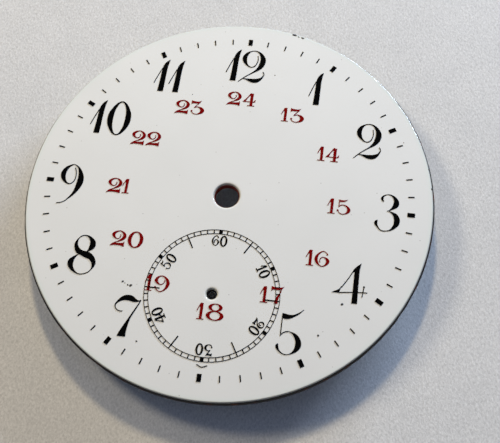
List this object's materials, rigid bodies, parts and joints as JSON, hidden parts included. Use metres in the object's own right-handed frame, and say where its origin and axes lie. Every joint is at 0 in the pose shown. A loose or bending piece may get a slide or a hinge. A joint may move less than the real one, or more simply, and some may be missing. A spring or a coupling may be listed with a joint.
{
  "type": "watch dial",
  "caption": "Round domed enamel dial of a pocket watch on a copper plate, with a centre hole, a small seconds track and hole, fired hour numerals and feet on its back.",
  "frame": {"origin": "axis of the centre hole, at the back of the copper plate", "axes": "+Z out of the face of the dial, +Y towards twelve o'clock, +X towards three o'clock"},
  "size_m": [0.041, 0.041, 0.0037],
  "materials": {
    "copper": "fire-darkened bare copper",
    "white_enamel": "glossy fired vitreous enamel",
    "back_enamel": "fired vitreous enamel, slightly uneven",
    "foot_copper": "drawn copper wire, dulled by firing",
    "braze": "hard solder, dulled by firing",
    "black_print": "fired black enamel paint",
    "red_print": "fired red enamel paint"
  },
  "bodies": {
    "root": {"copper_plate": "copper", "front_enamel": "white_enamel", "counter_enamel": "back_enamel", "dial_foot_1": "foot_copper", "dial_foot_2": "foot_copper", "dial_foot_3": "foot_copper", "foot_braze_1": "braze", "foot_braze_2": "braze", "foot_braze_3": "braze", "hour_batons": "black_print", "minute_strokes": "black_print", "hour_numeral_1": "black_print", "hour_numeral_2": "black_print", "hour_numeral_3": "black_print", "hour_numeral_4": "black_print", "hour_numeral_5": "black_print", "hour_numeral_6": "black_print", "hour_numeral_7": "black_print", "hour_numeral_8": "black_print", "hour_numeral_9": "black_print", "hour_numeral_10": "black_print", "hour_numeral_11": "black_print", "hour_numeral_12": "black_print", "red_numeral_13": "red_print", "red_numeral_14": "red_print", "red_numeral_15": "red_print", "red_numeral_16": "red_print", "red_numeral_17": "red_print", "red_numeral_18": "red_print", "red_numeral_19": "red_print", "red_numeral_20": "red_print", "red_numeral_21": "red_print", "red_numeral_22": "red_print", "red_numeral_23": "red_print", "red_numeral_24": "red_print", "seconds_track": "black_print", "seconds_numeral_10": "black_print", "seconds_numeral_20": "black_print", "seconds_numeral_30": "black_print", "seconds_numeral_40": "black_print", "seconds_numeral_50": "black_print", "seconds_numeral_60": "black_print"}
  },
  "joints": []
}
